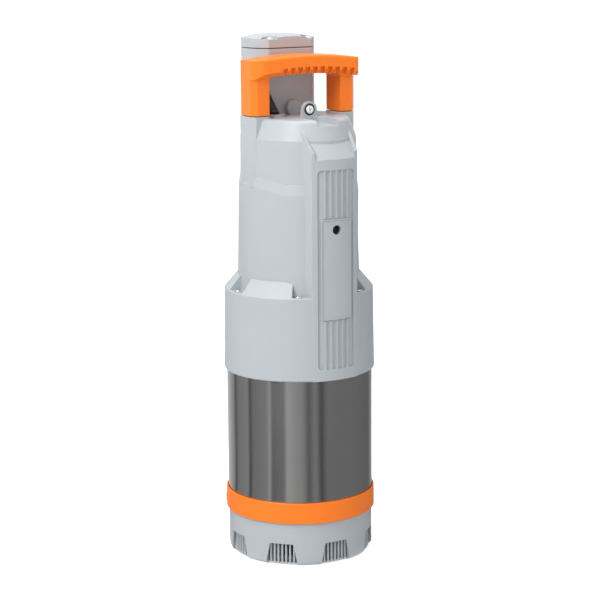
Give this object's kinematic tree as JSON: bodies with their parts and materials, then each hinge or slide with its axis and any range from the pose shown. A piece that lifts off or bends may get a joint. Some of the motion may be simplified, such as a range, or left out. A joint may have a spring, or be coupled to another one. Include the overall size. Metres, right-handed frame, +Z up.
{
  "type": "submersible pump",
  "caption": "Multistage submersible pump with steel barrel, slotted base strainer, ribbed grey housing, orange carrying handle and rear discharge tower with a check valve",
  "frame": {"origin": "Centre of the base ring, on the surface the pump stands on", "axes": "+Z up along the pump shaft, X along the carrying handle, -Y towards the ribbed front spine, +Y towards the discharge tower"},
  "size_m": [0.15, 0.1501, 0.516],
  "materials": {
    "housing_grey": "moulded, fine satin",
    "accent_orange": "moulded, satin",
    "shell_steel": "brushed around the tube",
    "screw_steel": "bright stainless",
    "black_rubber": "matte",
    "stage_plastic": "glass-filled, matte",
    "inner_steel": "ground",
    "core_steel": "stacked sheets",
    "winding_copper": "enamelled wire",
    "cast_aluminium": "as cast",
    "seal_ceramic": "lapped",
    "thread_brass": "turned",
    "capacitor_can": "drawn can",
    "board_green": "lacquered"
  },
  "bodies": {
    "pump_body": {"upper_housing": "housing_grey", "base_strainer": "housing_grey", "intake_floor": "housing_grey", "tower_lid": "housing_grey", "front_plate": "housing_grey", "handle": "accent_orange", "lower_ring": "accent_orange", "outer_shell": "shell_steel", "housing_screws": "screw_steel", "lid_screws": "screw_steel", "lug_screw": "screw_steel", "lug_nut": "screw_steel", "handle_screws": "screw_steel", "strain_relief": "black_rubber", "gland_seal": "black_rubber", "lug_bush": "black_rubber", "sight_plug": "black_rubber", "lid_gasket": "black_rubber", "lower_shell_seal": "black_rubber", "upper_shell_seal": "black_rubber", "suction_cover": "stage_plastic", "diffuser_1": "stage_plastic", "diffuser_2": "stage_plastic", "diffuser_3": "stage_plastic", "diffuser_4": "stage_plastic", "discharge_guide": "stage_plastic", "valve_seat": "stage_plastic", "mounting_flange": "stage_plastic", "gland_nut": "stage_plastic", "lower_bearing_outer": "inner_steel", "upper_bearing_outer": "inner_steel", "motor_can": "inner_steel", "valve_spring": "inner_steel", "stator_core": "core_steel", "stator_winding": "winding_copper", "seal_housing": "cast_aluminium", "motor_cover": "cast_aluminium", "seal_seat": "seal_ceramic", "outlet_insert": "thread_brass", "capacitor": "capacitor_can", "control_board": "board_green"},
    "rotor": {"shaft": "inner_steel", "rotor_core": "core_steel", "impeller_1": "stage_plastic", "impeller_2": "stage_plastic", "impeller_3": "stage_plastic", "impeller_4": "stage_plastic", "impeller_sleeves": "inner_steel", "impeller_nut": "screw_steel", "seal_rotor": "seal_ceramic", "lower_bearing_inner": "inner_steel", "upper_bearing_inner": "inner_steel"},
    "valve": {"valve_poppet": "stage_plastic", "valve_gasket": "black_rubber"}
  },
  "joints": [
    {"name": "shaft_spin", "type": "hinge", "parent": "pump_body", "child": "rotor", "pos_m": [0, 0, 0.2], "axis": [0, 0, 1], "continuous": true},
    {"name": "check_valve_lift", "type": "slide", "parent": "pump_body", "child": "valve", "axis": [0, 0, 1], "range_m": [0, 0.007], "stiffness_N_per_m": 60, "springref_m": -0.01, "deforming": ["valve_spring"]}
  ]
}
